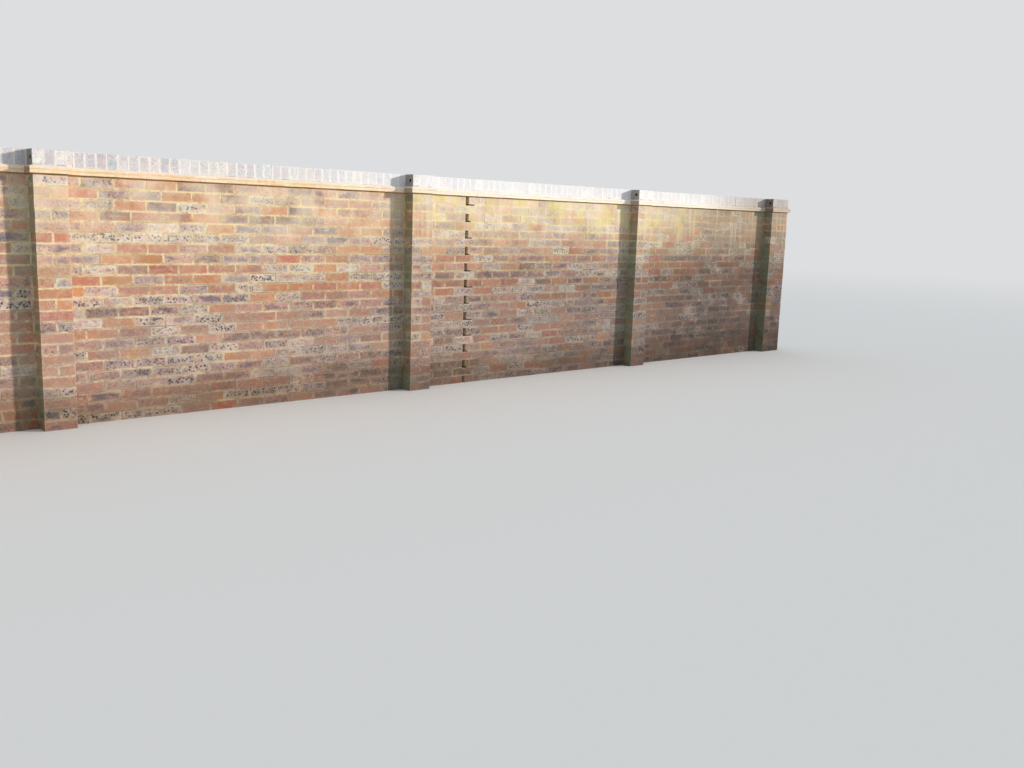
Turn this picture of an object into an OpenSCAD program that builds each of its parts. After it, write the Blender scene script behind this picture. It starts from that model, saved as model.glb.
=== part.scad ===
// Free-standing garden wall, one brick thick, in four bays between piers that stand
// proud on the garden side. Two courses of creasing tile step out round every pier
// and carry a brick-on-edge coping. One bay has a toothed joint with open slots in it.
// X runs along the wall, the garden side faces -Y and Z = 0 is the ground.

/* [Brick and mortar] */
// Length of a brick
brick_l = 215; // [190:5:240]
// Width of a brick
brick_w = 102.5; // [90:2.5:115]
// Height of a brick
brick_h = 65; // [50:1:75]
// Thickness of a mortar joint
joint = 10; // [6:1:15]

/* [Wall] */
// Courses of brick between the ground and the creasing
courses = 23; // [8:1:31]
// Length of bay 1, in stretchers
bay_1_bricks = 12.5; // [6:0.5:16]
// Length of bay 2, in stretchers
bay_2_bricks = 12.5; // [6:0.5:16]
// Length of bay 3, in stretchers
bay_3_bricks = 12; // [6:0.5:16]
// Length of bay 4, in stretchers
bay_4_bricks = 10; // [6:0.5:16]

/* [Piers] */
// Width of a pier between two bays, in bricks
pier_bricks = 1; // [1:0.5:2]
// Width of the pier at each end of the wall, in bricks
end_pier_bricks = 1.5; // [1:0.5:3]
// How far the piers stand proud of the wall, in bricks
pier_proud_bricks = 0.5; // [0.5:0.5:1.5]

/* [Creasing] */
// Thickness of a creasing tile
tile_t = 15; // [8:1:25]
// How far the tiles oversail the brickwork
tile_oversail = 25; // [10:1:50]
// Mortar bed between the two courses of tile
tile_bed = 10; // [6:1:15]
// How far the mortar on a course of tile stops short of its edge
bed_setback = 4; // [0:1:8]

/* [Coping] */
// Mortar bed under the coping, weathered down to the edge of the tiles
coping_bed = 12; // [6:1:20]
// Bore of the perforation that shows in the end brick over each pier
perforation_d = 30; // [15:1:45]
// Distance from the front arris to the middle of the perforation
perforation_inset = 42; // [30:1:60]

/* [Toothed joint] */
// Stretchers between the pier and the joint
joint_run_bricks = 2; // [1:0.5:4]
// Width of the slot in every other course
slot_w = 37.5; // [20:2.5:60]

/* [Hidden] */
stretcher = brick_l + joint;
gauge = brick_h + joint;
wall_t = brick_l;
wall_h = courses * gauge;
pier_proud = pier_proud_bricks * stretcher;
pier_depth = wall_t + pier_proud;
coping_h = brick_w;
bed_lip = tile_oversail - bed_setback;

pier_widths = [for (n = [end_pier_bricks, pier_bricks, pier_bricks, pier_bricks, end_pier_bricks])
    n * stretcher - joint];
bay_widths = [for (n = [bay_1_bricks, bay_2_bricks, bay_3_bricks, bay_4_bricks])
    n * stretcher + joint];
bay_parted = [false, false, true, false];
last_pier = len(pier_widths) - 1;
last_bay = len(bay_widths) - 1;
plain_bays = [for (i = [0:last_bay]) if (!bay_parted[i]) i];
parted_bay = [for (i = [0:last_bay]) if (bay_parted[i]) i][0];

function sum(list, count) = count <= 0 ? 0 : list[count - 1] + sum(list, count - 1);
wall_l = sum(pier_widths, len(pier_widths)) + sum(bay_widths, len(bay_widths));

// The origin is on the ground in the middle of the whole wall, piers included
face_y = (pier_proud - wall_t) / 2;
function pier_x(i) = sum(pier_widths, i) + sum(bay_widths, i) - wall_l / 2;
function pier_end_x(i) = pier_x(i) + pier_widths[i];
function bay_x(i) = pier_end_x(i);
function bay_end_x(i) = bay_x(i) + bay_widths[i];

// Heights of the courses above the brickwork
lower_tile_z = wall_h;
upper_tile_z = lower_tile_z + tile_t + tile_bed;
coping_z = upper_tile_z + tile_t + coping_bed;

// The toothed joint, measured from the pier on its left
slot_x = joint_run_bricks * stretcher + joint;
finger_x = slot_x + slot_w;
tooth_x = slot_x + brick_w + joint;

// A run of tile or coping over a bay is [name, start, end, meets a pier at its start, at its end]
function bay_name(i, piece) = str("bay_", i + 1, "_", piece);
function pier_name(i, piece) = str("pier_", i + 1, "_", piece);
function whole_run(i) = [bay_name(i, ""), bay_x(i), bay_end_x(i), true, true];
function left_run(i) = [bay_name(i, "left_"), bay_x(i), bay_x(i) + tooth_x, true, false];
function right_run(i) = [bay_name(i, "right_"), bay_x(i) + tooth_x, bay_end_x(i), false, true];
runs = [for (i = [0:last_bay])
    each bay_parted[i] ? [left_run(i), right_run(i)] : [whole_run(i)]];

// Extrudes an X-Z profile from the back towards the garden side
module extrude_y(x, back_y, z, depth) {
    translate([x, back_y, z]) rotate([90, 0, 0]) linear_extrude(depth) children();
}

// Extrudes a Y-Z profile along the wall
module extrude_x(x, y, z, length) {
    translate([x, y, z]) rotate([90, 0, 90]) linear_extrude(length) children();
}

module panel(i) {
    color("peru") extrude_y(bay_x(i), face_y + wall_t, 0, wall_t)
        square([bay_widths[i], wall_h]);
}

// Courses are counted from the top: the slots are in courses 0, 2, 4 and the teeth in between
function course_z(n) = (courses - 1 - n) * gauge;
courses_upwards = [courses - 1:-1:0];
tooth_courses = [for (n = courses_upwards) if (n % 2 == 1) n];
slot_courses = [for (n = courses_upwards) if (n % 2 == 0) n];

// Each tooth is a half brick on its own bed, which lies on the finger below it, and its end
// meets the other side. The bed above it is open, and so is the slot over that.
function tooth_span(n) = [max(0, course_z(n) - joint), course_z(n) + brick_h];
// A finger is the brick beyond the slot. The top one is bedded to the creasing.
function finger_span(n) = [course_z(n), n == 0 ? wall_h : course_z(n) + brick_h];

// Points of a comb edge, from the bottom up, whose prongs fill the given [low, high] spans
function comb(root_x, tip_x, prongs) = [for (p = prongs)
    each [[root_x, p[0]], [tip_x, p[0]], [tip_x, p[1]], [root_x, p[1]]]];
// The corner at the foot of a comb edge, unless its first prong starts there
function comb_foot(root_x, prongs) = prongs[0][0] > 0 ? [[root_x, 0]] : [];

module left_panel(i) {
    teeth = [for (n = tooth_courses) tooth_span(n)];
    color("peru") extrude_y(bay_x(i), face_y + wall_t, 0, wall_t)
        polygon(concat([[0, 0]], comb_foot(slot_x, teeth), comb(slot_x, tooth_x, teeth),
            [[slot_x, wall_h], [0, wall_h]]));
}

module right_panel(i) {
    fingers = [for (n = slot_courses) finger_span(n)];
    color("peru") extrude_y(bay_x(i), face_y + wall_t, 0, wall_t)
        polygon(concat(comb_foot(tooth_x, fingers), comb(tooth_x, finger_x, fingers),
            [[bay_widths[i], wall_h], [bay_widths[i], 0]]));
}

// Plan of a pier, grown outwards on all sides
module pier_plan(i, grow = 0) {
    translate([pier_x(i) - grow, face_y - pier_proud - grow])
        square([pier_widths[i] + 2 * grow, pier_depth + 2 * grow]);
}

module pier_shaft(i) {
    color("sienna") linear_extrude(wall_h) pier_plan(i);
}

// Where the tiles of a pier end on each side, past which a bay's own tiles start
function stub_x(i) = pier_x(i) - (i > 0 ? tile_oversail : 0);
function stub_end_x(i) = pier_end_x(i) + (i < last_pier ? tile_oversail : 0);
function run_x(r) = r[1] + (r[3] ? tile_oversail : 0);
function run_end_x(r) = r[2] - (r[4] ? tile_oversail : 0);

// Section of a bed that slopes down on both sides from a flat top of the given width
module weathered(width) {
    polygon([[-bed_lip, 0], [0, coping_bed], [width, coping_bed], [width + bed_lip, 0]]);
}

// One course of tile along the wall, on which a bed is laid
module run_tiles(r, z) {
    translate([run_x(r), face_y - tile_oversail, z])
        cube([run_end_x(r) - run_x(r), wall_t + 2 * tile_oversail, tile_t]);
}

module run_lower_creasing(r) {
    color("sandybrown") {
        run_tiles(r, lower_tile_z);
        translate([run_x(r), face_y - bed_lip, lower_tile_z + tile_t])
            cube([run_end_x(r) - run_x(r), wall_t + 2 * bed_lip, tile_bed]);
    }
}

module run_upper_creasing(r) {
    color("sandybrown") {
        run_tiles(r, upper_tile_z);
        extrude_x(run_x(r), face_y, upper_tile_z + tile_t, run_end_x(r) - run_x(r)) weathered(wall_t);
    }
}

module pier_lower_creasing(i) {
    color("sandybrown") {
        translate([0, 0, lower_tile_z]) linear_extrude(tile_t) pier_plan(i, tile_oversail);
        translate([0, 0, lower_tile_z + tile_t]) linear_extrude(tile_bed) {
            pier_plan(i, bed_lip);
            translate([stub_x(i), face_y - bed_lip])
                square([stub_end_x(i) - stub_x(i), wall_t + 2 * bed_lip]);
        }
    }
}

// The bed over a pier is hipped at its corners and mitred into the beds of the bays
module pier_upper_creasing(i) {
    bed_z = upper_tile_z + tile_t;
    color("sandybrown") {
        translate([0, 0, upper_tile_z]) linear_extrude(tile_t) pier_plan(i, tile_oversail);
        intersection() {
            extrude_x(pier_x(i) - bed_lip, face_y - pier_proud, bed_z, pier_widths[i] + 2 * bed_lip)
                weathered(pier_depth);
            extrude_y(pier_x(i), face_y + wall_t + bed_lip, bed_z, pier_depth + 2 * bed_lip)
                weathered(pier_widths[i]);
        }
        extrude_x(stub_x(i), face_y, bed_z, stub_end_x(i) - stub_x(i)) weathered(wall_t);
    }
}

module run_coping(r) {
    color("lightslategray") translate([r[1], face_y, coping_z]) cube([r[2] - r[1], wall_t, coping_h]);
}

// The end bricks of a pier's coping show their bed faces, with a perforation in each
module pier_coping(i) {
    hole_y = face_y - pier_proud + perforation_inset;
    color("lightslategray") difference() {
        translate([0, 0, coping_z]) linear_extrude(coping_h) pier_plan(i);
        for (x = [pier_x(i), pier_end_x(i) - brick_h])
            translate([x, hole_y, coping_z + coping_h / 2]) rotate([0, 90, 0])
                cylinder(d = perforation_d, h = brick_h, $fn = 48);
    }
}

for (i = plain_bays)
    panel(i);
left_panel(parted_bay);
right_panel(parted_bay);

for (i = [0:last_pier]) {
    pier_shaft(i);
    pier_lower_creasing(i);
    pier_upper_creasing(i);
    pier_coping(i);
}

for (r = runs) {
    run_lower_creasing(r);
    run_upper_creasing(r);
    run_coping(r);
}
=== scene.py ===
import math
from functools import lru_cache, partial

import bpy
import numpy as np
from mathutils import Matrix, Vector


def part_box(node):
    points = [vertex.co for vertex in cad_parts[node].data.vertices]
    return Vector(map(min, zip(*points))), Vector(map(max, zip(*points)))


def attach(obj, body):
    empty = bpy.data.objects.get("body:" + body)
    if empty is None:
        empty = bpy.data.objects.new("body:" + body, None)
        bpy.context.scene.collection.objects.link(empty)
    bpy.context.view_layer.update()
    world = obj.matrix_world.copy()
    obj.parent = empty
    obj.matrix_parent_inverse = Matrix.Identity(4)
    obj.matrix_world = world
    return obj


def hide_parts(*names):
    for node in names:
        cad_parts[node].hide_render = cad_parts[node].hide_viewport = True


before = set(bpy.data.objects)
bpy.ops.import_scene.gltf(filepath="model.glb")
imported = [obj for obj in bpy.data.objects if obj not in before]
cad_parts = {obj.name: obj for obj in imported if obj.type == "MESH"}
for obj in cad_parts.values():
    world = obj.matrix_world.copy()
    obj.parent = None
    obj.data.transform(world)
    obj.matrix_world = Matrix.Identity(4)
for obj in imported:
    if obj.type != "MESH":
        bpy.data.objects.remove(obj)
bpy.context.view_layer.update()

# Brickwork
BRICK_L, BRICK_W, BRICK_H = 0.215, 0.1025, 0.065
JOINT = 0.010
GAUGE = BRICK_H + JOINT
STRETCHER = BRICK_L + JOINT
HALF_MODULE = STRETCHER / 2
POINTING = 0.0003        # the mortar lies this far behind the brick faces
BITE = 0.0010            # the mortar reaches this far over the bricks beside a joint
UNEVEN, UNEVEN_WAVE = 0.0004, 0.07           # how uneven the mortar is
ARRIS = 0.0015           # wear on a brick's edges
FAR = 99.0               # past everything
CLOSE = 1e-4             # places nearer than this are the same

# Bricks and tiles aren't all alike
SIZE_SPREAD, TILE_SPREAD = 0.0007, 0.0005    # how much they differ in size, and stand in or out
OFFSET_SHARES = (0.5, 0.8, 0.5)              # how much of the spread goes into each direction
WARP, TILE_WARP, WARP_WAVE = 0.0004, 0.0005, 0.055     # how uneven their faces are
BRICK_TONE, PALE_TONE, HUE_SPREAD = 0.10, 0.05, 0.04   # how much their colours differ
BRICK_MOOD, TILE_MOOD, COPING_MOOD = 0.45, 0.3, 0.2    # how much a row leans to some kinds
SAME_AGAIN = 0.18                            # how often a brick is surely of the last one's kind
BRICK_ROOM = 0.004                           # the bricks of a wall may stand out by this much
BRIGHTEST = 0.92                             # no body colour is brighter than this
FLECK_RANGE, SMEAR_RANGE = (0.3, 1.1), (0.0, 1.25)     # how much of its kind's marks a brick has
GRAIN_SHIFT = 40                             # how far a brick's noise may be shifted each way

# Cells that blocks are cut into: along X, Y and Z
LONG_SIDE, LONG_CELLS, SHORT_CELLS = 0.15, 6, 4        # a side above LONG_SIDE has LONG_CELLS
LEAF_CELLS, COURSE_CELLS = 2, 4
TILE_CELLS, COPING_CELLS, PIER_COPING_CELLS = (4, 6, 3), (4, 8, 5), (4, 6, 5)
BORED_CELLS = (10, 6)    # along Y and Z only

# Seeds of the random draws, to which the number of the bay or pier is added
BRICK_SEED, TILE_SEED, BED_SEED, COPING_SEED = 100, 200, 300, 400
PICKED_SEEDS = {"pier_2": 743}               # a draw that runs to orange below, as in the photograph
WARP_SEED, MORTAR_SEED, DAB_SEED = 11, 31, 23          # the same in all of them

# Creasing and coping
TILE_W, TILE_T, TILE_JOINT, TILE_ARRIS = 0.165, 0.015, 0.003, 0.0015
PIER_TILE_W, PIER_TILE_L, SQUARE_TILE = 0.133, 0.265, 0.190
TILE_OVERSAIL, BED_SETBACK = 0.025, 0.002
TILE_BED, COPING_BED, THIN_BED = 0.010, 0.012, 0.0015
BED_LIP = TILE_OVERSAIL - BED_SETBACK
BED_UNEVEN, BED_RAGGED, BED_WAVE = 0.0006, 0.0010, 0.06   # how uneven a bed's top and edges are
BED_PITCH_X, RUN_BED_PITCH_Y, PIER_BED_PITCH_Y = 0.03, 0.12, 0.05
LEAST_TILE = 0.02        # shorter tiles are left out
COPING_POINTING = 0.0002
PERFORATION_D, PERFORATION_INSET = 0.030, 0.042
INSIDE_BORE = -1.0       # the inset that marks the wall of a perforation

# The frame's own places
wall_low, wall_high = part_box("bay_1_panel")
WALL_FRONT, WALL_BACK, WALL_TOP = wall_low.y, wall_high.y, wall_high.z
COURSES = round(WALL_TOP / GAUGE)
LOWER_TILE_Z = WALL_TOP
UPPER_TILE_Z = LOWER_TILE_Z + TILE_T + TILE_BED
COPING_Z = UPPER_TILE_Z + TILE_T + COPING_BED
COPING_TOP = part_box("bay_1_coping")[1].z
PIERS = ["pier_1", "pier_2", "pier_3", "pier_4", "pier_5"]
RUNS = ["bay_1", "bay_2", "bay_3_left", "bay_3_right", "bay_4"]
LEAVES = [(WALL_FRONT, WALL_FRONT + BRICK_W), (WALL_BACK - BRICK_W, WALL_BACK)]

# Toothed joint: the open slots start at SLOT_X, and the teeth end at TOOTH_X
SLOT_W = 0.0375
LEFT_UNITS = 4           # half stretchers from the pier to a slot
DAB_REACHES = (0.010, 0.030, 0.050, 0.070)   # how far mortar squeezed into the open beds
SLOT_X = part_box("bay_3_right_panel")[0].x - SLOT_W
TOOTH_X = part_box("bay_3_left_panel")[1].x

# Camera, as it stood for the photograph
LENS, SENSOR = 34.17, 36.0
CAMERA_AT = Vector((-4.763, -7.070, 1.512))
CAMERA_YAW, CAMERA_PITCH, CAMERA_ROLL = 41.93, 9.51, 1.84   # degrees, the yaw from +Y to +X

# Light: a low winter sun from the right and a bright sky
SUN_AZIMUTH, SUN_HEIGHT, SUN_ANGLE = 54.5, 13.0, 3.0        # degrees, the azimuth from -Y to +X
SUN_STRENGTH, SUN_COLOUR = 3.6, (1.0, 0.955, 0.89)
SKY_STRENGTH, SKY_COLOUR = 0.67, (0.79, 0.89, 1.0)
PALE = (0.72, 0.73, 0.74)
FLOOR_COLOUR = (0.78, 0.755, 0.72)
FLOOR_SIZE, FLOOR_FADE = 120.0, (7.0, 36.0)


def srgb(r, g, b):
    """A colour written as 0 to 255, in the linear values that the shaders take."""
    return tuple((c / 12.92 if c <= 0.04045 else ((c + 0.055) / 1.055) ** 2.4)
                 for c in (r / 255, g / 255, b / 255)) + (1.0,)


# Kinds of brick: body colour, share of the bricks, amount of flecks and amount of dark smear
BRICK_KINDS = [
    ((202, 138, 94), 0.15, 0.25, 0.15),    # orange
    ((188, 119, 96), 0.10, 0.20, 0.15),    # red
    ((184, 130, 104), 0.14, 0.45, 0.45),   # terracotta
    ((200, 152, 136), 0.19, 0.75, 0.90),   # pink round a smear
    ((216, 200, 186), 0.24, 1.20, 0.45),   # pale grey, flecked
    ((182, 160, 156), 0.11, 1.05, 0.90),   # lilac
    ((142, 116, 104), 0.07, 0.70, 0.80),   # brown, burnt
]
# Coping bricks are mid blue-grey; these colours are paler by painted sun glare
COPING_KINDS = [
    ((221, 218, 214), 0.45, 0.55, 0.45),
    ((204, 202, 206), 0.30, 0.50, 0.65),
    ((229, 225, 217), 0.25, 0.35, 0.20),
]
TILE_KINDS = [
    ((242, 208, 170), 0.50, 0.10, 0.0),
    ((238, 198, 158), 0.20, 0.10, 0.0),
    ((246, 216, 184), 0.30, 0.10, 0.0),
]

# Colours of wear and weather, and of painted light and shade. A shade multiplies, a light lights softly, a
# hue tints, the rest are mixed in.
WHITE = srgb(255, 255, 255)
# Lime whitening and painted highlight, on sunlit faces towards the top
LIME_AND_HIGHLIGHT, MORTAR_LIME_AND_HIGHLIGHT = srgb(244, 231, 203), srgb(242, 226, 172)
# The olive of algae is also painted shade, on sides out of the sun and beside the piers
LICHEN, ALGAE_AND_SHADE = srgb(222, 208, 126), srgb(126, 142, 110)
# The dull coat of the sunlit lower wall is partly painted shade, for less sun low down
FILM_AND_SHADE_GREY, FILM_AND_SHADE_HUE, FILM_AND_SHADE_DARK = srgb(141, 131, 125), srgb(160, 144, 134), srgb(238, 237, 237)
# Painted shade of trees over the lower and far wall, dappled at the far end
FOOT_SHADE, PAINTED_TREE_SHADE, PAINTED_DAPPLED_SHADE = srgb(194, 188, 180), srgb(189, 192, 199), srgb(198, 196, 193)
PALE_STREAK, BROWN_STREAK = srgb(248, 238, 218), srgb(168, 146, 116)
UNDER_TILES_PAINTED_SHADOW, SLOT_MORTAR = srgb(202, 184, 158), srgb(214, 196, 156)
# Painted shade of trees on the far end of the coping and tiles, and painted shade on their sides out of the
# sun
PAINTED_TOP_TREE_SHADE, SUNLESS_SHADE = srgb(202, 195, 188), srgb(180, 173, 167)
# Painted glare that grows along the coping and the tiles, with mortar smears on the tiles too
COPING_GLARE, TILE_GLARE_AND_SMEAR = srgb(250, 249, 248), srgb(244, 240, 232)
WARM_LIGHT, BLOOM, STAIN = srgb(255, 240, 220), srgb(234, 216, 198), srgb(158, 156, 138)
GRIT_SHADE, SAND_SHADE, TILE_GRIT_SHADE = srgb(184, 172, 164), srgb(160, 150, 132), srgb(180, 162, 144)
BORE_PAINTED_SHADE, TILE_LIGHT, TILE_SMEAR = srgb(70, 66, 64), srgb(255, 236, 206), srgb(250, 232, 208)

# Where the weather and the painted light and shade lie, from none of it to all of it: heights, and places
# along X
HAZE_AND_HIGHLIGHT_Z, LICHEN_Z = (0.95, 1.95), (1.4, 1.95)
FILM_AND_SHADE_Z, FOOT_Z = (1.30, 0.75), (0.66, 0.28)
TREE_SHADE_Z, TREE_SHADE_X, DAPPLED_SHADE_X = (1.80, 1.05), (-3.0, 4.5), (3.0, 4.6)
STREAK_Z, STREAK_X = (1.0, 1.6), (-4.0, 1.0)
LICHEN_START_X, LICHEN_END_X = (0.0, 0.4), (4.8, 3.6)
UNDER_TILES_Z = (WALL_TOP - 0.016, WALL_TOP - 0.009)
COPING_GLARE_X, TILE_GLARE_AND_SMEAR_X, TOP_TREE_SHADE_X = (-2.5, 1.2), (-1.0, 1.3), (4.2, 5.5)
ALGAE_AND_SHADE_FROM, ALGAE_AND_SHADE_FULL = 0.20, 0.06          # distances from the side of a pier
SLOT_FADE, SIDE_GAP = 0.01, 0.001
SMEAR_INSET, PALE_INSET, BORE_INSET = (0.004, 0.022), (0.007, 0.001), (-0.02, -0.2)   # from an arris

# Corners of a quad in order, where a lattice turns from filled to empty (-1) or to filled (1)
QUAD_CORNERS = {-1: ((0, 0), (1, 0), (1, 1), (0, 1)), 1: ((0, 0), (0, 1), (1, 1), (1, 0))}
ATTRIBUTE_FORMS = {1: ("FLOAT", "value"), 3: ("FLOAT_VECTOR", "vector"), 4: ("FLOAT_COLOR", "color")}
RIPPLE_WAVES = 9


# Meshes

def surface(filled):
    """The closed surface round the filled cells of a lattice, as lattice points and quads."""
    solid = np.pad(filled.astype(int), 1)
    corners = []
    for axis in range(3):
        u, v = (axis + 1) % 3, (axis + 2) % 3
        change = np.diff(solid, axis=axis)
        for step, order in QUAD_CORNERS.items():
            cell = np.argwhere(change == step)
            cell[:, [u, v]] -= 1
            quad = np.repeat(cell[:, None, :], 4, axis=1)
            for k, (du, dv) in enumerate(order):
                quad[:, k, u] += du
                quad[:, k, v] += dv
            corners.append(quad)
    corners = np.concatenate(corners).reshape(-1, 3)
    points, index = np.unique(corners, axis=0, return_inverse=True)
    return points, index.reshape(-1, 4)


@lru_cache(maxsize=None)
def box_surface(cells):
    """Lattice points on the surface of a full box of cells, and the quads between them."""
    return surface(np.ones(cells, bool))


def ripple(points, wavelength, seed):
    """Smooth noise of about unit size, the same at the same point."""
    rng = np.random.default_rng(seed)
    waves = rng.normal(size=(RIPPLE_WAVES, 3)) * 2 * math.pi / wavelength
    shifts = rng.uniform(0, 2 * math.pi, RIPPLE_WAVES)
    return np.sin(points @ waves.T + shifts).sum(1) * math.sqrt(2 / RIPPLE_WAVES)


def lines(length, cells, worn_low, worn_high, arris):
    """Places of the lattice lines across a block, with one line just inside each worn arris."""
    low, high = arris * worn_low, length - arris * worn_high
    inner = np.linspace(low, high, cells + 1 - worn_low - worn_high)
    return np.concatenate([[0.0] * worn_low, inner, [length] * worn_high])


def block(low, high, cells, worn_low=(1, 1, 1), worn_high=(1, 1, 1), arris=ARRIS):
    """A box with worn arrises: vertices, quads, and how far each vertex lies from each pair of faces."""
    size = high - low
    points, quads = box_surface(cells)
    across = [lines(size[a], cells[a], worn_low[a], worn_high[a], arris)[points[:, a]] for a in range(3)]
    flat = np.stack(across, 1)
    core = np.clip(flat, arris * np.array(worn_low), size - arris * np.array(worn_high))
    out = flat - core
    reach = np.linalg.norm(out, axis=1, keepdims=True)
    worn = np.where(reach > 0, core + out * arris / np.maximum(reach, 1e-9), flat)
    return low + worn, quads, np.minimum(flat, size - flat)


def bored_block(low, high):
    """A brick on edge with a perforation through it along X, in the same form as block."""
    size = high - low
    along, up = BORED_CELLS
    ys = np.concatenate([np.linspace(0, size[1], along + 1), np.full(up - 1, size[1]),
                         np.linspace(size[1], 0, along + 1), np.zeros(up - 1)])
    rise = np.linspace(0, size[2], up + 1)
    zs = np.concatenate([np.zeros(along + 1), rise[1:-1], np.full(along + 1, size[2]), rise[-2:0:-1]])
    centre = np.array([PERFORATION_INSET, size[2] / 2])
    turn = np.arctan2(zs - centre[1], ys - centre[0])
    hole = centre + PERFORATION_D / 2 * np.stack([np.cos(turn), np.sin(turn)], 1)
    rim = np.stack([ys, zs], 1)
    face = np.clip(rim, ARRIS, size[1:] - ARRIS)
    rings = [(0, hole), (0, face), (ARRIS, rim), (size[0] - ARRIS, rim), (size[0], face), (size[0], hole),
             (size[0] - ARRIS, hole), (ARRIS, hole)]
    count = len(ys)
    points = np.concatenate([np.column_stack([np.full(count, x), ring]) for x, ring in rings])
    quads = []
    for ring in range(len(rings)):
        a, b = ring * count, (ring + 1) % len(rings) * count
        for i in range(count):
            j = (i + 1) % count
            quads.append([a + i, a + j, b + j, b + i])
    inset = np.minimum(points, size - points)
    inset[-2 * count:] = INSIDE_BORE
    return low + points, np.array(quads), inset


def joined(shapes):
    """Several shapes of points and quads as one."""
    starts = np.cumsum([0] + [len(points) for points, quads in shapes[:-1]])
    return (np.concatenate([points for points, quads in shapes]),
            np.concatenate([quads + start for (points, quads), start in zip(shapes, starts)]))


def mesh_object(name, shape, material, attributes=None, limits=None):
    """A mesh. One with attributes holds bricks or tiles, which have smooth arrises round flat faces."""
    points, quads = shape
    if limits:
        points = np.clip(points, np.array(limits[0]), np.array(limits[1]))
    mesh = bpy.data.meshes.new(name)
    mesh.from_pydata(points.tolist(), [], quads.tolist())
    for key, values in (attributes or {}).items():
        kind, field = ATTRIBUTE_FORMS[values.shape[1]]
        layer = mesh.attributes.new(key, kind, "POINT")
        layer.data.foreach_set(field, values.astype(np.float32).ravel())
    mesh.materials.append(material)
    piece = bpy.data.objects.new(name, mesh)
    bpy.context.scene.collection.objects.link(piece)
    if attributes:
        mesh.shade_smooth()
        piece.modifiers.new("flat_faces", "WEIGHTED_NORMAL").weight = 100
    return piece


class Masonry:
    """Bricks or tiles that are gathered into one mesh, each with its own colour, size and grain."""

    def __init__(self, kinds, seed):
        self.kinds = kinds
        self.rng = np.random.default_rng(seed)
        self.parts = []
        self.count = 0
        self.last = None

    def new_row(self, mood):
        """Bricks of one course come from the same pack, so each course leans to some kinds."""
        shares = np.array([k[1] for k in self.kinds])
        self.shares = shares * np.exp(mood * self.rng.normal(size=len(shares)))
        self.shares /= self.shares.sum()

    def pick(self):
        if self.last is None or self.rng.random() > SAME_AGAIN:
            self.last = self.rng.choice(len(self.kinds), p=self.shares)
        return self.kinds[self.last]

    def add(self, shape, spread=SIZE_SPREAD, tone=BRICK_TONE):
        points, quads, inset = shape
        colour, _, fleck, smear = self.pick()
        centre = points.mean(0)
        stretch = 1 + self.rng.normal(size=3) * spread / np.ptp(points, axis=0)
        points = centre + (points - centre) * stretch + self.rng.normal(size=3) * spread * OFFSET_SHARES
        body = np.array(srgb(*colour)) * (1 + tone * self.rng.normal())
        body *= 1 + HUE_SPREAD * self.rng.normal(size=4)
        body = np.append(np.clip(body[:3], 0, BRIGHTEST), 1)
        fleck *= self.rng.uniform(*FLECK_RANGE)
        smear *= self.rng.uniform(*SMEAR_RANGE)
        count = len(points)
        self.parts.append({
            "points": points,
            "quads": quads + self.count,
            "inset": inset,
            "grain": points + self.rng.uniform(-GRAIN_SHIFT, GRAIN_SHIFT, 3),
            "body": np.tile(body, (count, 1)),
            "fleck": np.full((count, 1), fleck),
            "smear": np.full((count, 1), smear),
        })
        self.count += count

    def make(self, name, material, limits, warp=WARP):
        whole = {key: np.concatenate([p[key] for p in self.parts]) for key in self.parts[0]}
        points, quads = whole.pop("points"), whole.pop("quads")
        for axis in range(3):
            points[:, axis] += warp * ripple(whole["grain"], WARP_WAVE, WARP_SEED + axis)
        return mesh_object(name, (points, quads), material, whole, limits)


def place(piece, node):
    """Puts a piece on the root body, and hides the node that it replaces."""
    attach(piece, "root")
    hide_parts(node)


def within(low, high, room=0.0):
    """Limits of a box, with some room on all sides but below the ground."""
    least = (low.x - room, low.y - room, max(0.0, low.z - room))
    return least, (high.x + room, high.y + room, high.z + room)


# Setting out

def spans(start, end, sizes, lead=1, tail=1):
    """Where pieces of these nominal lengths lie between start and end, drawn out evenly to fill it."""
    nominal = sum(sizes) + JOINT * (len(sizes) - 1 + lead + tail)
    scale = (end - start) / nominal
    at, found = start + JOINT * lead * scale, []
    for size in sizes:
        found.append((at, at + size * scale))
        at += (size + JOINT) * scale
    return found


def bond(units, starts_half):
    """Brick lengths of a stretcher course that is so many half stretchers long."""
    sizes = [BRICK_W] if starts_half else []
    left = units - len(sizes)
    return sizes + [BRICK_L] * (left // 2) + [BRICK_W] * (left % 2)


def is_slot(course):
    """Courses are counted down from the top. The toothed joint has its slots in every other one."""
    return course % 2 == 0


def bay_course(run, course):
    """The (start, end) of each brick along one course of a bay."""
    low, high = (v.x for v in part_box(run + "_panel"))
    if run == "bay_3_left" and is_slot(course):
        return spans(low, SLOT_X, bond(LEFT_UNITS, False), tail=0)
    if run == "bay_3_left":
        return spans(low, TOOTH_X, bond(LEFT_UNITS + 1, True), tail=0)
    if run == "bay_3_right" and is_slot(course):
        whole = int((high - low - JOINT) // STRETCHER)
        cut_brick = high - low - JOINT - whole * STRETCHER
        return spans(low, high, [cut_brick] + [BRICK_L] * whole, lead=0)
    start = TOOTH_X if run == "bay_3_right" else low
    units = round((high - start - JOINT) / HALF_MODULE)
    starts_half = is_slot(course) == (run == "bay_2") and run != "bay_3_right"
    return spans(start, high, bond(units, starts_half))


def bay_plan(run, course):
    """The (x0, y0, x1, y1) of each brick in one course of a bay, in both its leaves."""
    return [(x0, y0, x1, y1) for y0, y1 in LEAVES for x0, x1 in bay_course(run, course)]


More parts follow.
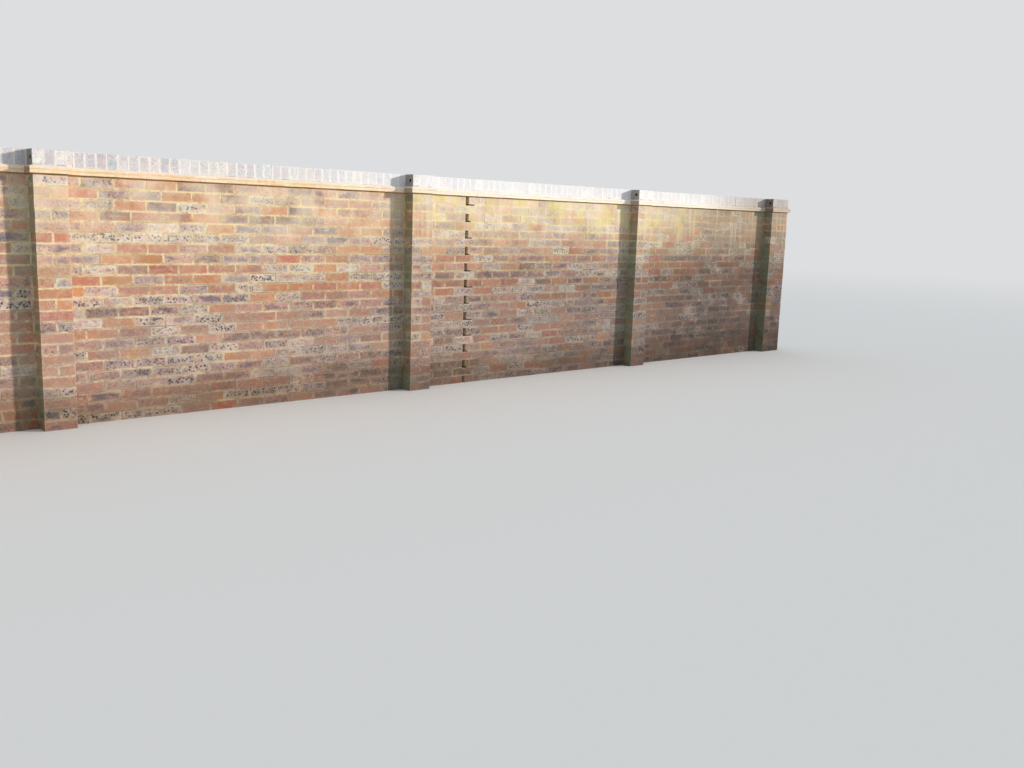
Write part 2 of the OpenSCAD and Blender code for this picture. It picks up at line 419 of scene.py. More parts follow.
def pier_plan(pier, course):
    """The same for a pier, whose bricks turn from course to course."""
    low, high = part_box(pier + "_shaft")
    x0, x1, front, back = low.x, high.x, low.y, high.y
    stretcher_in_front = is_slot(course) == (pier == "pier_2")
    if x1 - x0 > BRICK_L + JOINT:
        # The end piers are one and a half bricks square: four bricks turn about the middle
        turn = [(x0, front, x0 + BRICK_L, front + BRICK_W),
                (x1 - BRICK_W, front, x1, front + BRICK_L),
                (x1 - BRICK_L, back - BRICK_W, x1, back),
                (x0, back - BRICK_L, x0 + BRICK_W, back)]
        if stretcher_in_front:
            return turn
        return [(x0 + x1 - c, b, x0 + x1 - a, d) for a, b, c, d in turn]
    halves = [(x0, x0 + BRICK_W), (x1 - BRICK_W, x1)]
    if stretcher_in_front:
        return [(x0, front, x1, front + BRICK_W)] + [(a, back - BRICK_L, b, back) for a, b in halves]
    return [(a, front, b, front + BRICK_L) for a, b in halves] + [(x0, back - BRICK_W, x1, back)]


def side_cells(length):
    """How many cells a brick's side is cut into."""
    return LONG_CELLS if length > LONG_SIDE else SHORT_CELLS


def brickwork(plans, seed, on_pier):
    """Bricks laid to the plans of the courses, from the top down."""
    wall = Masonry(BRICK_KINDS, seed)
    for course, plan in enumerate(plans):
        wall.new_row(BRICK_MOOD)
        z = (COURSES - 1 - course) * GAUGE
        for x0, y0, x1, y1 in plan:
            low, high = np.array([x0, y0, z]), np.array([x1, y1, z + BRICK_H])
            along, across = side_cells(x1 - x0), side_cells(y1 - y0)
            if on_pier:
                wall.add(block(low, high, (along, across, COURSE_CELLS)))
            else:
                # Only the outer face of a leaf shows, so only that side is worn
                front = int(y0 == WALL_FRONT)
                cells = (along, LEAF_CELLS, COURSE_CELLS)
                wall.add(block(low, high, cells, (1, front, 1), (1, 1 - front, 1)))
    return wall


# Mortar between bricks

def free_span(start, end, outer):
    """What the mortar leaves free of a brick's span: it bites at joints, and stops at no outer face."""
    low = -FAR if any(abs(start - v) < CLOSE for v in outer) else start + BITE
    high = FAR if any(abs(end - v) < CLOSE for v in outer) else end - BITE
    return low, high


def lattice(start, end, free, extra=()):
    """Lattice lines from start to end, with one wherever a free span begins or ends."""
    inner = {round(float(v), 5) for span in free for v in span} | set(extra)
    return np.array([start] + sorted(v for v in inner if start + CLOSE < v < end - CLOSE) + [end])


def mortar(ends_x, ends_y, zs, plans, outer_x, outer_y, cut=None):
    """The mortar round bricks, whose plans are given for each band between two of the heights zs.

    A cut is a line across X, the side of it that is open (1 or -1), and the bands that stay filled there.
    """
    free = [[(free_span(x0, x1, outer_x), free_span(y0, y1, outer_y)) for x0, y0, x1, y1 in plan]
            for plan in plans]
    xs = lattice(*ends_x, [brick[0] for plan in free for brick in plan], [cut[0]] if cut else [])
    ys = lattice(*ends_y, [brick[1] for plan in free for brick in plan])
    zs = np.array(zs)
    mid_x, mid_y = (xs[1:] + xs[:-1]) / 2, (ys[1:] + ys[:-1]) / 2
    filled = np.ones((len(mid_x), len(mid_y), len(plans)), bool)
    for band, plan in enumerate(free):
        for (a, b), (c, d) in plan:
            filled[np.ix_((mid_x > a) & (mid_x < b), (mid_y > c) & (mid_y < d), [band])] = False
    if cut:
        line, side, stays = cut
        filled[(mid_x - line) * side > 0] &= stays
    points, quads = surface(filled)
    at = np.stack([xs[points[:, 0]], ys[points[:, 1]], zs[points[:, 2]]], 1)
    at[:, 1] += UNEVEN * ripple(at, UNEVEN_WAVE, MORTAR_SEED)
    return at, quads


def tooth_dabs(front, back):
    """Mortar that squeezed into the open beds over the teeth, less than halfway in most of them."""
    rng = np.random.default_rng(DAB_SEED)
    dabs = []
    for course in range(1, COURSES, 2):
        z = (COURSES - 1 - course) * GAUGE + BRICK_H
        reach = rng.choice(DAB_REACHES)
        points, quads = box_surface((1, 1, 1))
        corner = np.array([TOOTH_X - reach, front, z - BITE])
        dabs.append((corner + points * (reach, back - front, JOINT + 2 * BITE), quads))
    return dabs


def wall_mortar(run, plans):
    """The joints and beds of a bay or a pier. Over a bed band there is the course above it."""
    low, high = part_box(run + ("_shaft" if run in PIERS else "_panel"))
    beds = np.arange(1, COURSES + 1) * GAUGE
    zs = np.stack([beds - JOINT - BITE, beds + BITE], 1).ravel()
    zs = np.concatenate([[0.0], zs[:-1], [WALL_TOP]])
    bands = [band for plan in reversed(plans) for band in (plan, [])]
    ends_y, outer_y = (low.y + POINTING, high.y - POINTING), (low.y, high.y)
    if run in PIERS:
        return mortar((low.x + POINTING, high.x - POINTING), ends_y, zs, bands, (low.x, high.x), outer_y)
    start, end = low.x - POINTING - BITE, high.x + POINTING + BITE
    if run == "bay_3_left":
        under_tooth = np.zeros(2 * COURSES, bool)
        for course in range(COURSES - 1):
            under_tooth[2 * (COURSES - 1 - course) - 1] = not is_slot(course)
        cut = (SLOT_X - POINTING, 1, under_tooth)
        return mortar((start, TOOTH_X - POINTING), ends_y, zs, bands, (SLOT_X, TOOTH_X), outer_y, cut)
    if run == "bay_3_right":
        under_tiles = np.arange(2 * COURSES) == 2 * COURSES - 1
        cut = (TOOTH_X - BITE, -1, under_tiles)
        shape = mortar((low.x + POINTING, end), ends_y, zs, bands, (low.x,), outer_y, cut)
        return joined([shape] + tooth_dabs(*ends_y))
    return mortar((start, end), ends_y, zs, bands, (), outer_y)


# Tiles and their beds

def tile_rows(start, end, width, offset):
    """Tiles of one course between start and end: (start, end) of each, the first cut by the offset."""
    count = max(1, round((end - start) / width))
    pitch = (end - start) / count
    edges = [start] + [start + pitch * (i + 1 - offset) for i in range(count)] + [end]
    edges = sorted(set(round(e, 5) for e in edges if start <= e <= end))
    return [(a + TILE_JOINT / 2 * (a > start), b - TILE_JOINT / 2 * (b < end))
            for a, b in zip(edges[:-1], edges[1:]) if b - a > LEAST_TILE]


def tile_plan(node):
    """The (x0, y0, x1, y1) of each tile in one course over a bay or a pier."""
    low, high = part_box(node)
    upper = "upper" in node
    if node.startswith("bay"):
        return [(a, low.y, b, high.y) for a, b in tile_rows(low.x, high.x, TILE_W, 0.5 * upper)]
    if upper:
        rows = ((low.y, low.y + PIER_TILE_L), (low.y + PIER_TILE_L + TILE_JOINT, high.y))
        return [(a, c, b, d) for a, b in tile_rows(low.x, high.x, PIER_TILE_W, 0) for c, d in rows]
    return [(low.x, a, high.x, b) for a, b in tile_rows(low.y, high.y, SQUARE_TILE, 0)]


def tile_z(node):
    """Height of the underside of a course of tile."""
    return UPPER_TILE_Z if "upper" in node else LOWER_TILE_Z


def tiles(node, seed):
    """One course of creasing tile."""
    course = Masonry(TILE_KINDS, seed)
    course.new_row(TILE_MOOD)
    z = tile_z(node)
    for x0, y0, x1, y1 in tile_plan(node):
        low, high = np.array([x0, y0, z]), np.array([x1, y1, z + TILE_T])
        course.add(block(low, high, TILE_CELLS, arris=TILE_ARRIS), TILE_SPREAD, PALE_TONE)
    return course


def tile_joints(node):
    """The mortar between the tiles of one course."""
    low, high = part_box(node)
    ends_y = (low.y + COPING_POINTING, high.y - COPING_POINTING)
    zs = [tile_z(node) + COPING_POINTING, tile_z(node) + TILE_T]
    return mortar((low.x, high.x), ends_y, zs, [tile_plan(node)], (low.x, high.x), (low.y, high.y))


def bed_height(x, y, over):
    """Height of the weathered bed at a point over the boxes (x0, x1, y0, y1) that carry coping."""
    best = 0.0
    for x0, x1, y0, y1 in over:
        outside = max(x0 - x, x - x1, y0 - y, y - y1, 0.0)
        best = max(best, COPING_BED * (1 - outside / BED_LIP))
    return max(best, THIN_BED)


def bed(node, xs, ys, inside, over, seed):
    """The mortar on a course of tile: flat between the tiles, weathered under the coping."""
    upper = "upper" in node
    z = tile_z(node) + TILE_T
    filled = np.array([[[inside((a + b) / 2, (c + d) / 2)] for c, d in zip(ys[:-1], ys[1:])]
                       for a, b in zip(xs[:-1], xs[1:])])
    points, quads = surface(filled)
    at = np.stack([xs[points[:, 0]], ys[points[:, 1]], np.full(len(points), z - BITE)], 1)
    ragged = ripple(at, BED_WAVE, seed)
    for i, (p, n) in enumerate(zip(points, ragged)):
        if p[2] and upper:
            at[i, 2] = z + (bed_height(at[i, 0], at[i, 1], over) + BED_UNEVEN * n)
        elif p[2]:
            at[i, 2] = z + (TILE_BED + BITE)
        at[i, 1] += BED_RAGGED * n * (p[1] in (0, len(ys) - 1))
    return at, quads


def steps(marks, pitch):
    """Lattice lines through the marks, with lines no more than a pitch apart in between."""
    found = []
    for a, b in zip(marks[:-1], marks[1:]):
        count = max(1, math.ceil((b - a) / pitch))
        found.append(np.linspace(a, b, count + 1)[:-1])
    return np.concatenate(found + [[marks[-1]]])


def run_bed(node, seed):
    """The bed over a bay."""
    low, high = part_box(node)
    xs = steps([low.x, high.x], BED_PITCH_X)
    ys = steps([WALL_FRONT - BED_LIP, WALL_FRONT, WALL_BACK, WALL_BACK + BED_LIP], RUN_BED_PITCH_Y)
    return bed(node, xs, ys, lambda x, y: True, [(-FAR, FAR, WALL_FRONT, WALL_BACK)], seed)


def pier_bed(node, seed):
    """The bed over a pier, with stubs of the beds of the bays at its sides."""
    pier = node[:len("pier_0")]
    low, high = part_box(pier + "_shaft")
    tile_low, tile_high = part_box(node)
    first, last = pier == PIERS[0], pier == PIERS[-1]
    marks = {low.x - BED_LIP, low.x, high.x, high.x + BED_LIP}
    marks |= (set() if first else {tile_low.x}) | (set() if last else {tile_high.x})
    xs = steps(sorted(marks), BED_PITCH_X)
    marks = [low.y - BED_LIP, low.y, WALL_FRONT - BED_LIP, WALL_FRONT, high.y, high.y + BED_LIP]
    ys = steps(marks, PIER_BED_PITCH_Y)
    over = [(low.x, high.x, low.y, high.y),
            (low.x if first else -FAR, high.x if last else FAR, WALL_FRONT, WALL_BACK)]

    def inside(x, y):
        return low.x - BED_LIP < x < high.x + BED_LIP or y > WALL_FRONT - BED_LIP

    return bed(node, xs, ys, inside, over, seed)


# Coping

def ends_joined(node):
    """Whether a run of coping has a joint at its start and at its end."""
    if node.startswith("pier"):
        return 0, 0
    return 1, int(not node.startswith("bay_3_left"))


def coping_plan(node):
    """Bricks on edge: one deep over a bay, a whole and a half brick deep over a pier."""
    low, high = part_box(node)
    count = round((high.x - low.x + JOINT) / GAUGE)
    places = spans(low.x, high.x, [BRICK_H] * count, *ends_joined(node))
    rows = [(low.y, high.y)]
    if node.startswith("pier"):
        rows = [(low.y, low.y + BRICK_L), (high.y - BRICK_W, high.y)]
    return [(a, c, b, d) for a, b in places for c, d in rows]


def coping_bricks(node, seed):
    """The bricks on edge over a bay or a pier. The outer ones over a pier are perforated."""
    low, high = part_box(node)
    row = Masonry(COPING_KINDS, seed)
    row.new_row(COPING_MOOD)
    on_pier = node.startswith("pier")
    cells = PIER_COPING_CELLS if on_pier else COPING_CELLS
    for x0, y0, x1, y1 in coping_plan(node):
        corner, far = np.array([x0, y0, COPING_Z]), np.array([x1, y1, COPING_TOP])
        at_end = abs(x0 - low.x) < CLOSE or abs(x1 - high.x) < CLOSE
        bored = on_pier and at_end and y0 == low.y
        row.add(bored_block(corner, far) if bored else block(corner, far, cells), tone=PALE_TONE)
    return row


def coping_mortar(node):
    """The joints between the bricks on edge."""
    low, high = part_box(node)
    lead, tail = ends_joined(node)
    start = low.x - BITE if lead else low.x + COPING_POINTING
    end = high.x + BITE if tail else high.x - COPING_POINTING
    outer_x = [x for x, joined_there in ((low.x, lead), (high.x, tail)) if not joined_there]
    ends_y = (low.y + COPING_POINTING, high.y - COPING_POINTING)
    zs = [COPING_Z - COPING_POINTING, COPING_TOP - COPING_POINTING]
    return mortar((start, end), ends_y, zs, [coping_plan(node)], outer_x, (low.y, high.y))


# Materials

class Graph:
    """A material's nodes, written as formulas."""

    def __init__(self, name):
        self.material = bpy.data.materials.new(name)
        self.material.use_nodes = True
        self.nodes = self.material.node_tree.nodes
        self.links = self.material.node_tree.links
        self.nodes.clear()

    def node(self, kind, inputs=None, **settings):
        made = self.nodes.new("ShaderNode" + kind)
        for key, value in settings.items():
            setattr(made, key, value)
        for key, value in (inputs or {}).items():
            if isinstance(value, bpy.types.NodeSocket):
                self.links.new(value, made.inputs[key])
            else:
                made.inputs[key].default_value = value
        return made

    def math(self, operation, a, b):
        return self.node("Math", {0: a, 1: b}, operation=operation).outputs[0]

    def ramp(self, value, start, end):
        """0 below start and 1 above end, with a smooth step between. Start may be above end."""
        if start > end:
            return self.math("SUBTRACT", 1.0, self.ramp(value, end, start))
        inputs = {"Value": value, "From Min": start, "From Max": end}
        return self.node("MapRange", inputs, interpolation_type="SMOOTHSTEP").outputs[0]

    def mix(self, amount, a, b, blend="MIX"):
        made = self.node("Mix", data_type="RGBA", blend_type=blend)
        for socket, value in ((made.inputs[0], amount), (made.inputs[6], a), (made.inputs[7], b)):
            if isinstance(value, bpy.types.NodeSocket):
                self.links.new(value, socket)
            else:
                socket.default_value = value
        return made.outputs[2]

    def noise(self, at, scale, detail, rough=0.5):
        inputs = {"Vector": at, "Scale": scale, "Detail": detail, "Roughness": rough}
        return self.node("TexNoise", inputs).outputs["Fac"]

    def cells(self, at, scale):
        """Distance to the nearest of many scattered points."""
        return self.node("TexVoronoi", {"Vector": at, "Scale": scale}).outputs["Distance"]

    def attribute(self, name, output):
        return self.node("Attribute", attribute_name=name).outputs[output]

    def place(self):
        return self.node("TexCoord").outputs["Object"]

    def split(self, vector):
        return self.node("SeparateXYZ", {0: vector}).outputs

    def stretched(self, vector, scale):
        return self.node("VectorMath", {0: vector, 1: scale}, operation="MULTIPLY").outputs[0]

    def product(self, first, *others):
        for other in others:
            first = self.math("MULTIPLY", first, other)
        return first

    def finish(self, colour, roughness, height, depth, specular=0.3):
        bump = self.node("Bump", {"Height": height, "Distance": depth, "Strength": 1.0})
        inputs = {"Base Color": colour, "Roughness": roughness, "Normal": bump.outputs[0],
                  "Specular IOR Level": specular}
        shader = self.node("BsdfPrincipled", inputs)
        out = self.node("OutputMaterial")
        self.links.new(shader.outputs[0], out.inputs[0])
        return self.material


def faces_sun(g):
    """0 on faces that look to -X, which the sun never reaches, and 1 on all others."""
    return g.ramp(g.split(g.node("NewGeometry").outputs["Normal"])[0], -0.85, -0.40)


def beside_piers(g, x, y):
    """1 in the corners of the garden side that the piers keep out of the sun, and 0 elsewhere."""
    corners = 0.0
    for pier in PIERS[1:]:
        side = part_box(pier + "_shaft")[0].x
        corner = g.ramp(x, side - ALGAE_AND_SHADE_FROM, side - ALGAE_AND_SHADE_FULL)
        corner = g.math("MULTIPLY", corner, g.math("LESS_THAN", x, side - SIDE_GAP))
        corners = g.math("ADD", corners, corner)
    return g.math("MULTIPLY", corners, g.math("LESS_THAN", y, 0.0))


def soiled_and_shaded(g, colour, x, lifted, patchy, lit, soil_and_shade):
    """A dull coat on the sunlit lower wall that is partly painted shade, a foot darker towards the bottom,
    and painted shade of trees, deeper low down and towards the far end, and dappled there.
    """
    # Painted shade and a dull coat, on sunlit faces of the lower wall only
    film_and_shade = g.product(g.ramp(lifted, *FILM_AND_SHADE_Z), g.ramp(patchy, 0.20, 0.65), lit, soil_and_shade)
    colour = g.mix(g.math("MULTIPLY", film_and_shade, 0.14), colour, FILM_AND_SHADE_GREY)
    colour = g.mix(g.math("MULTIPLY", film_and_shade, 0.44), colour, FILM_AND_SHADE_HUE, blend="COLOR")
    colour = g.mix(film_and_shade, colour, FILM_AND_SHADE_DARK, blend="MULTIPLY")
    foot = g.math("MULTIPLY", g.ramp(lifted, *FOOT_Z), soil_and_shade)
    colour = g.mix(foot, colour, FOOT_SHADE, blend="MULTIPLY")
    # Painted shade of trees, deeper low down and towards the far end
    tree_shade = g.product(g.ramp(x, *TREE_SHADE_X), g.ramp(lifted, *TREE_SHADE_Z), soil_and_shade)
    colour = g.mix(tree_shade, colour, PAINTED_TREE_SHADE, blend="MULTIPLY")
    # Painted dappled shade of trees at the far end
    far = g.product(g.ramp(x, *DAPPLED_SHADE_X), g.ramp(patchy, 0.10, 0.65), soil_and_shade)
    return g.mix(far, colour, PAINTED_DAPPLED_SHADE, blend="MULTIPLY")


def streaked(g, colour, at, x, z, lit):
    """Pale and brown run-off below the tiles."""
    streak = g.noise(g.stretched(at, (20.0, 20.0, 1.1)), 1.0, 3.0)
    near_top = g.product(g.ramp(z, *STREAK_Z), g.ramp(x, *STREAK_X), lit)
    colour = g.mix(g.product(g.ramp(streak, 0.54, 0.68), near_top, 0.20), colour, PALE_STREAK)
    return g.mix(g.product(g.ramp(streak, 0.46, 0.34), near_top, 0.22), colour, BROWN_STREAK)


def lichened_and_highlit(g, colour, at, x, lifted, lit, lime_and_highlight):
    """Lime whitening and painted highlight, stronger here, with yellow patches of lichen, below the tiles of
    the right-hand half.
    """
    between = g.product(g.ramp(x, *LICHEN_START_X), g.ramp(x, *LICHEN_END_X))
    yellowed = g.product(between, g.ramp(lifted, *LICHEN_Z), lit)
    # Lime whitening with painted highlight, stronger in this zone
    colour = g.mix(g.math("MULTIPLY", yellowed, 0.28), colour, lime_and_highlight)
    spread = g.ramp(g.noise(at, 7.0, 3.0), 0.50, 0.60)
    return g.mix(g.product(spread, yellowed, 0.55), colour, LICHEN)


def out_of_sun(g, colour, x, y, patchy, lit):
    """Algae and painted shade on sides that the sun never reaches and beside the piers, and pale mortar in
    the slots.
    """
    unlit = g.math("SUBTRACT", 1.0, lit)
    shaded = g.math("MAXIMUM", unlit, g.math("MULTIPLY", beside_piers(g, x, y), 0.35))
    # Algae with painted shade, on faces out of the sun and beside the piers
    colour = g.mix(g.product(shaded, g.ramp(patchy, 0.22, 0.58), 0.58), colour, ALGAE_AND_SHADE)
    slots = g.product(g.ramp(x, SLOT_X - SLOT_FADE, SLOT_X), g.ramp(x, TOOTH_X + SLOT_FADE, TOOTH_X), unlit)
    return g.mix(g.math("MULTIPLY", slots, 0.5), colour, SLOT_MORTAR)


def wall_weather_and_painted_light(g, colour, lime_and_highlight=LIME_AND_HIGHLIGHT, soil_and_shade=1.0):
    """Lime whitening with painted highlight on sunlit faces towards the top, run-off and lichen below the
    coping, a lower wall darker partly by painted shade, a painted shadow under the tiles, and algae with
    painted shade out of the sun.
    """
    at = g.place()
    x, y, z = g.split(at)[:3]
    patchy = g.noise(at, 5.5, 3.0)
    lifted = g.math("ADD", z, g.math("MULTIPLY", g.noise(at, 1.1, 3.0), 0.40))
    lit = faces_sun(g)
    # Painted highlight with lime whitening, on sunlit faces and more towards the top
    haze_and_highlight = g.product(g.ramp(lifted, *HAZE_AND_HIGHLIGHT_Z), g.ramp(patchy, 0.20, 0.70), lit, 0.50)
    colour = g.mix(haze_and_highlight, colour, lime_and_highlight)
    colour = soiled_and_shaded(g, colour, x, lifted, patchy, lit, soil_and_shade)
    colour = streaked(g, colour, at, x, z, lit)
    colour = lichened_and_highlit(g, colour, at, x, lifted, lit, lime_and_highlight)
    # Painted shadow on the wall just under the tiles
    colour = g.mix(g.ramp(z, *UNDER_TILES_Z), colour, UNDER_TILES_PAINTED_SHADOW, blend="MULTIPLY")
    return out_of_sun(g, colour, x, y, patchy, lit)


def top_weather_and_painted_light(g, colour, paler, places, amount):
    """Paler along the wall by painted glare, with mortar smears on the tiles, painted shade of trees at the
    far end, and painted shade on the sides out of the sun.
    """
    x = g.split(g.place())[0]
    # Painted glare, paler along the wall, with mortar smears on the tiles
    colour = g.mix(g.math("MULTIPLY", g.ramp(x, *places), amount), colour, paler)
    # Painted shade of trees at the far end
    colour = g.mix(g.ramp(x, *TOP_TREE_SHADE_X), colour, PAINTED_TOP_TREE_SHADE, blend="MULTIPLY")
    # Painted shade on the sides out of the sun
    unlit = g.math("SUBTRACT", 1.0, faces_sun(g))
    return g.mix(unlit, colour, SUNLESS_SHADE, blend="MULTIPLY")


def coping_weather_and_painted_light(g, colour):
    return top_weather_and_painted_light(g, colour, COPING_GLARE, COPING_GLARE_X, 0.44)


def tile_weather_and_painted_light(g, colour):
    return top_weather_and_painted_light(g, colour, TILE_GLARE_AND_SMEAR, TILE_GLARE_AND_SMEAR_X, 0.6)


def from_arris(g):
    """How far a point on a face lies from the nearest arris: the middle one of its three insets."""
    x, y, z = g.split(g.attribute("inset", "Vector"))[:3]
    nearer = g.math("MINIMUM", x, y)
    farther = g.math("MAXIMUM", x, y)
    return g.math("MAXIMUM", nearer, g.math("MINIMUM", farther, z))


def clay(g, grain, fine, middle, flecked, second):
    """The body of a brick, mottled with a second colour, with bloom, stains and grit."""
    mottle = g.noise(g.stretched(grain, (13.0, 13.0, 22.0)), 1.0, 4.0, 0.6)
    mottled = g.math("MULTIPLY", g.ramp(mottle, 0.38, 0.66), 0.70)
    colour = g.mix(mottled, g.attribute("body", "Color"), second)
    colour = g.mix(g.math("MULTIPLY", middle, 0.5), colour, WARM_LIGHT, blend="SOFT_LIGHT")
    bloom = g.math("ADD", g.math("MULTIPLY", flecked, 0.30), 0.20)
    bloom = g.math("MULTIPLY", g.ramp(g.noise(grain, 23.0, 4.0, 0.6), 0.48, 0.66), bloom)
    colour = g.mix(bloom, colour, BLOOM)
    stain = g.product(g.ramp(g.noise(grain, 15.0, 3.0), 0.50, 0.64), flecked, 0.35)
    colour = g.mix(stain, colour, STAIN)
    grit = g.mix(g.ramp(fine, 0.3, 0.7), GRIT_SHADE, WHITE)
    return g.mix(0.6, colour, grit, blend="MULTIPLY")


def dark_flecks(g, grain, cloud, inner, flecked):
    """Where the dark flecks are: ragged dots and blots in some parts of a flecked brick."""
    ragged = g.math("MULTIPLY", g.noise(grain, 24.0, 5.0, 0.7), 0.46)
    dots = g.ramp(g.math("SUBTRACT", g.cells(grain, 46.0), ragged), 0.22, 0.06)
    blots = g.math("MULTIPLY", g.ramp(g.noise(grain, 40.0, 4.0, 0.65), 0.50, 0.64), 0.6)
    where = g.ramp(g.math("ADD", cloud, g.math("MULTIPLY", inner, 0.25)), 0.46, 0.66)
    return g.product(g.math("MAXIMUM", dots, blots), where, flecked)


def brick_material(name, second, fleck_colour, smear_colour, edge_colour, edge_amount, weather_and_painted_light):
    """Fired clay with a dark smear inside its arrises, pale arrises and dark flecks, and painted shade
    inside perforations.
    """
    g = Graph(name)
    grain = g.attribute("grain", "Vector")
    flecked = g.attribute("fleck", "Fac")
    edge = from_arris(g)
    inner = g.ramp(edge, *SMEAR_INSET)
    fine = g.noise(grain, 170.0, 4.0, 0.6)
    middle = g.noise(grain, 38.0, 4.0, 0.6)
    cloud = g.noise(g.stretched(grain, (8.0, 8.0, 18.0)), 1.0, 3.0)
    colour = clay(g, grain, fine, middle, flecked, second)
    smear = g.product(g.ramp(cloud, 0.42, 0.60), inner, g.attribute("smear", "Fac"))
    colour = g.mix(g.math("MULTIPLY", smear, 0.85), colour, smear_colour)
    pale = g.product(g.ramp(edge, *PALE_INSET), g.ramp(middle, 0.38, 0.58), edge_amount)
    colour = g.mix(pale, colour, edge_colour)
    fleck = dark_flecks(g, grain, cloud, inner, flecked)
    colour = g.mix(g.math("MULTIPLY", fleck, 0.85), colour, fleck_colour)
    colour = weather_and_painted_light(g, colour)
    # Painted shade inside the perforations
    colour = g.mix(g.ramp(edge, *BORE_INSET), colour, BORE_PAINTED_SHADE)
    height = g.math("ADD", g.math("MULTIPLY", fine, 0.5), middle)
    height = g.math("SUBTRACT", height, g.math("MULTIPLY", fleck, 0.4))
    roughness = g.ramp(middle, -0.6, 0.4)
    return g.finish(colour, g.math("MULTIPLY", roughness, 0.92), height, 0.0014)


def mortar_material(name, colour, dark, weather_and_painted_light):
    """Sandy mortar that is dirty in lumps and along the beds."""
    g = Graph(name)
    at = g.place()
    sand = g.noise(at, 420.0, 3.0, 0.7)
    lumps = g.noise(at, 34.0, 4.0, 0.6)
    along = g.noise(g.stretched(at, (3.2, 3.2, 15.0)), 1.0, 3.0, 0.6)
    dirt = g.ramp(g.math("ADD", lumps, g.math("MULTIPLY", along, 1.4)), 1.02, 1.36)
    mixed = g.mix(g.math("MULTIPLY", dirt, 0.75), colour, dark)
    mixed = g.mix(0.3, mixed, g.mix(sand, SAND_SHADE, WHITE), blend="MULTIPLY")
    mixed = weather_and_painted_light(g, mixed)
    height = g.math("ADD", g.math("MULTIPLY", sand, 0.3), lumps)
    return g.finish(mixed, g.math("ADD", g.math("MULTIPLY", sand, 0.08), 0.88), height, 0.0020, 0.2)


def tile_material():
    """Smooth clay tile with upright smears of mortar."""
    g = Graph("creasing_tile")
    grain = g.attribute("grain", "Vector")
    at = g.place()
    fine = g.noise(grain, 150.0, 4.0, 0.6)
    middle = g.noise(grain, 26.0, 3.0)
    body = g.attribute("body", "Color")
    colour = g.mix(g.math("MULTIPLY", middle, 0.4), body, TILE_LIGHT, blend="SOFT_LIGHT")
    smears = g.noise(g.stretched(at, (24.0, 24.0, 6.0)), 1.0, 4.0, 0.6)
    colour = g.mix(g.product(g.ramp(smears, 0.48, 0.66), 0.6), colour, TILE_SMEAR)
    colour = g.mix(0.25, colour, g.mix(fine, TILE_GRIT_SHADE, WHITE), blend="MULTIPLY")
    colour = tile_weather_and_painted_light(g, colour)
    height = g.math("ADD", g.math("MULTIPLY", fine, 0.4), middle)
    return g.finish(colour, g.math("ADD", g.math("MULTIPLY", middle, 0.2), 0.75), height, 0.0010)


def floor_material():
    """A pale floor that fades into the backdrop far off."""
    g = Graph("floor")
    away = g.node("VectorMath", {0: g.place()}, operation="LENGTH").outputs["Value"]
    seen = g.node("LightPath").outputs["Is Camera Ray"]
    near = g.node("BsdfDiffuse", {"Color": (*FLOOR_COLOUR, 1.0)}).outputs[0]
    sky = g.node("Emission", {"Color": (*PALE, 1.0), "Strength": 1.0}).outputs[0]
    fade = g.math("MULTIPLY", g.ramp(away, *FLOOR_FADE), seen)
    shown = g.node("MixShader", {0: fade, 1: near, 2: sky}).outputs[0]
    out = g.node("OutputMaterial")
    g.links.new(shown, out.inputs[0])
    return g.material


# Camera, light and floor

def make_camera():
    yaw, pitch, roll = (math.radians(a) for a in (CAMERA_YAW, CAMERA_PITCH, CAMERA_ROLL))
    ahead = Vector((math.sin(yaw), math.cos(yaw), 0))
    side = Vector((math.cos(yaw), -math.sin(yaw), 0))
    up = Vector((0, 0, 1))
    forward = ahead * math.cos(pitch) - up * math.sin(pitch)
    above = up * math.cos(pitch) + ahead * math.sin(pitch)
    right = side * math.cos(roll) + above * math.sin(roll)
    above = above * math.cos(roll) - side * math.sin(roll)
    data = bpy.data.cameras.new("camera")
    data.lens, data.sensor_width = LENS, SENSOR
    camera = bpy.data.objects.new("camera", data)
    axes = Matrix((right, above, -forward)).transposed().to_4x4()
    camera.matrix_world = Matrix.Translation(CAMERA_AT) @ axes
    bpy.context.scene.collection.objects.link(camera)
    bpy.context.scene.camera = camera


def add_sun():
    data = bpy.data.lights.new("sun", "SUN")
    data.energy, data.angle, data.color = SUN_STRENGTH, math.radians(SUN_ANGLE), SUN_COLOUR
    lamp = bpy.data.objects.new("sun", data)
    a, h = math.radians(SUN_AZIMUTH), math.radians(SUN_HEIGHT)
    towards = Vector((math.sin(a) * math.cos(h), -math.cos(a) * math.cos(h), math.sin(h)))
    lamp.rotation_euler = towards.to_track_quat("Z", "Y").to_euler()
    bpy.context.scene.collection.objects.link(lamp)


def make_world():
    world = bpy.data.worlds.new("sky")
    bpy.context.scene.world = world
    world.use_nodes = True
    nodes, links = world.node_tree.nodes, world.node_tree.links
    nodes.clear()
    seen = nodes.new("ShaderNodeLightPath").outputs["Is Camera Ray"]
    shown = nodes.new("ShaderNodeBackground")
    shown.inputs[0].default_value = (*PALE, 1.0)
    light = nodes.new("ShaderNodeBackground")
    light.inputs[0].default_value = (*SKY_COLOUR, 1.0)
    light.inputs[1].default_value = SKY_STRENGTH
    mixed = nodes.new("ShaderNodeMixShader")
    links.new(seen, mixed.inputs[0])
    links.new(light.outputs[0], mixed.inputs[1])
    links.new(shown.outputs[0], mixed.inputs[2])
    links.new(mixed.outputs[0], nodes.new("ShaderNodeOutputWorld").inputs[0])


def make_floor():
    half = FLOOR_SIZE / 2
    mesh = bpy.data.meshes.new("floor")
    corners = [(-half, -half, 0), (half, -half, 0), (half, half, 0), (-half, half, 0)]
    mesh.from_pydata(corners, [], [(0, 1, 2, 3)])
    mesh.materials.append(floor_material())
    floor = bpy.data.objects.new("floor", mesh)
    bpy.context.scene.collection.objects.link(floor)


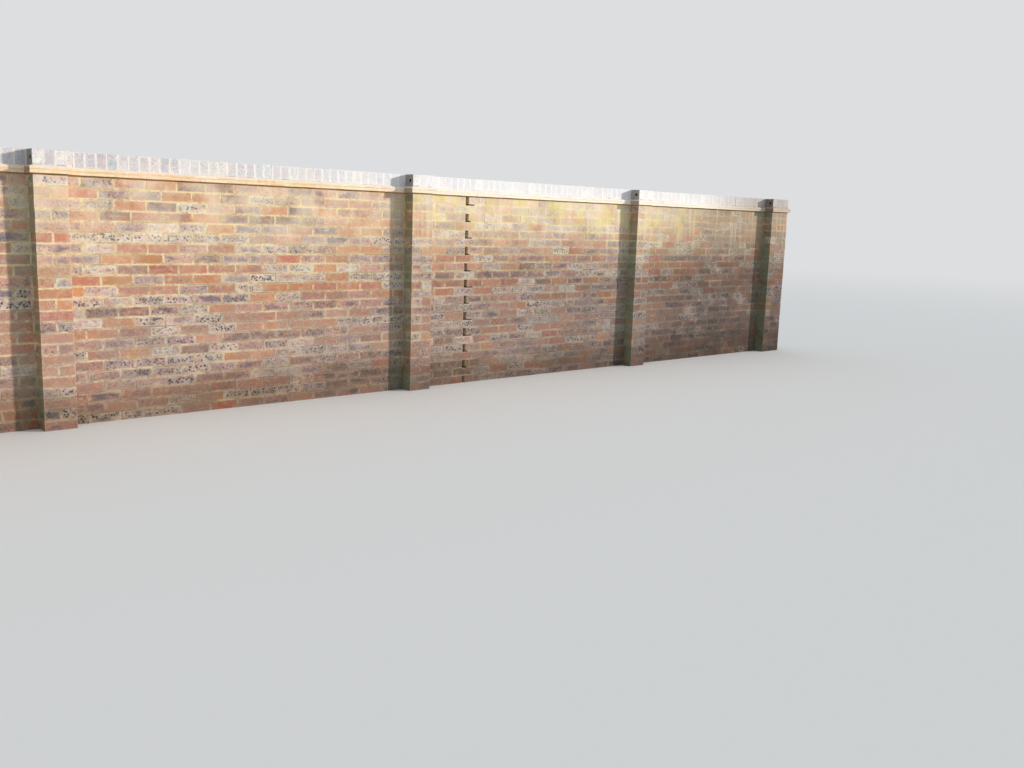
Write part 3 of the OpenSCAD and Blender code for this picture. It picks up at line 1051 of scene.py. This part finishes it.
def dress(run, seed):
    """All the pieces of one bay or pier."""
    on_pier = run in PIERS
    body = run + ("_shaft" if on_pier else "_panel")
    plans = [(pier_plan if on_pier else bay_plan)(run, course) for course in range(COURSES)]
    bricks = brickwork(plans, PICKED_SEEDS.get(run, BRICK_SEED + seed), on_pier)
    place(bricks.make(run + "_bricks", brick, within(*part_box(body), room=BRICK_ROOM)), body)
    place(mesh_object(run + "_mortar", wall_mortar(run, plans), joint_mortar), body)
    for level, bed_mortar in (("lower", lower_bed_mortar), ("upper", upper_bed_mortar)):
        node = run + "_" + level + "_creasing"
        limits = within(*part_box(node))
        course = tiles(node, TILE_SEED + seed)
        place(course.make(run + "_" + level + "_tiles", tile, limits, warp=TILE_WARP), node)
        shape = joined([(pier_bed if on_pier else run_bed)(node, BED_SEED + seed), tile_joints(node)])
        place(mesh_object(run + "_" + level + "_bed", shape, bed_mortar, limits=limits), node)
    node = run + "_coping"
    row = coping_bricks(node, COPING_SEED + seed)
    place(row.make(run + "_coping_bricks", coping_brick, within(*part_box(node))), node)
    place(mesh_object(run + "_coping_mortar", coping_mortar(node), pale_mortar), node)


make_camera()
add_sun()
make_world()
make_floor()

brick = brick_material(
    "brick", second=srgb(196, 132, 106), fleck_colour=srgb(80, 78, 86), smear_colour=srgb(122, 108, 116),
    edge_colour=srgb(232, 212, 176), edge_amount=0.55, weather_and_painted_light=wall_weather_and_painted_light)
coping_brick = brick_material(
    "coping_brick", second=srgb(214, 208, 220), fleck_colour=srgb(150, 150, 160),
    smear_colour=srgb(184, 180, 190), edge_colour=srgb(244, 240, 234), edge_amount=0.4,
    weather_and_painted_light=coping_weather_and_painted_light)
joint_mortar = mortar_material(
    "mortar", srgb(230, 210, 166), srgb(160, 134, 100), partial(wall_weather_and_painted_light, lime_and_highlight=MORTAR_LIME_AND_HIGHLIGHT, soil_and_shade=1.15))
lower_bed_mortar = mortar_material(
    "lower_bed_mortar", srgb(240, 216, 180), srgb(228, 198, 158), tile_weather_and_painted_light)
upper_bed_mortar = mortar_material(
    "upper_bed_mortar", srgb(248, 238, 224), srgb(242, 226, 206), tile_weather_and_painted_light)
pale_mortar = mortar_material(
    "coping_mortar", srgb(238, 234, 228), srgb(226, 220, 212), coping_weather_and_painted_light)
tile = tile_material()

for seed, run in enumerate(RUNS + PIERS):
    dress(run, seed)

bpy.context.scene.view_settings.view_transform = "Standard"
